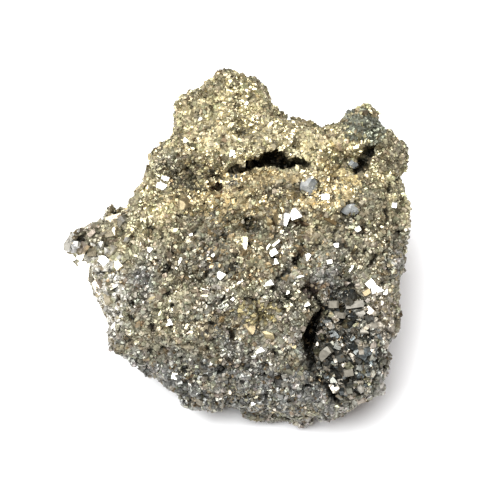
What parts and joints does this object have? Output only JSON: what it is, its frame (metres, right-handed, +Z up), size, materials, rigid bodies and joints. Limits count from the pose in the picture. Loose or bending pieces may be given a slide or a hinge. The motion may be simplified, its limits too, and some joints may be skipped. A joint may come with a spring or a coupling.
{
  "type": "pyrite specimen",
  "caption": "Rough lump of fine-grained pyrite with a knob, a pointed spur, an open crack and a crystal-lined hollow, with grains of quartz grown into its face; rests on a flat break.",
  "frame": {"origin": "on the surface that the lump lies on, under the middle of its bounding box", "axes": "+Z up from the flat break that it lies on; -Y is the front, towards which the broad face with the crack and the hollow leans; +X is to the right as seen from the front, and the spur points to -X"},
  "size_m": [0.0512, 0.05, 0.0329],
  "materials": {
    "pyrite": "gloss",
    "vug_pyrite": "gloss",
    "quartz": "gloss"
  },
  "bodies": {
    "root": {"pyrite_mass": "pyrite", "vug_crystals": "vug_pyrite", "quartz_grain_upper": "quartz", "quartz_grain_right": "quartz", "quartz_chip": "quartz"}
  },
  "joints": []
}
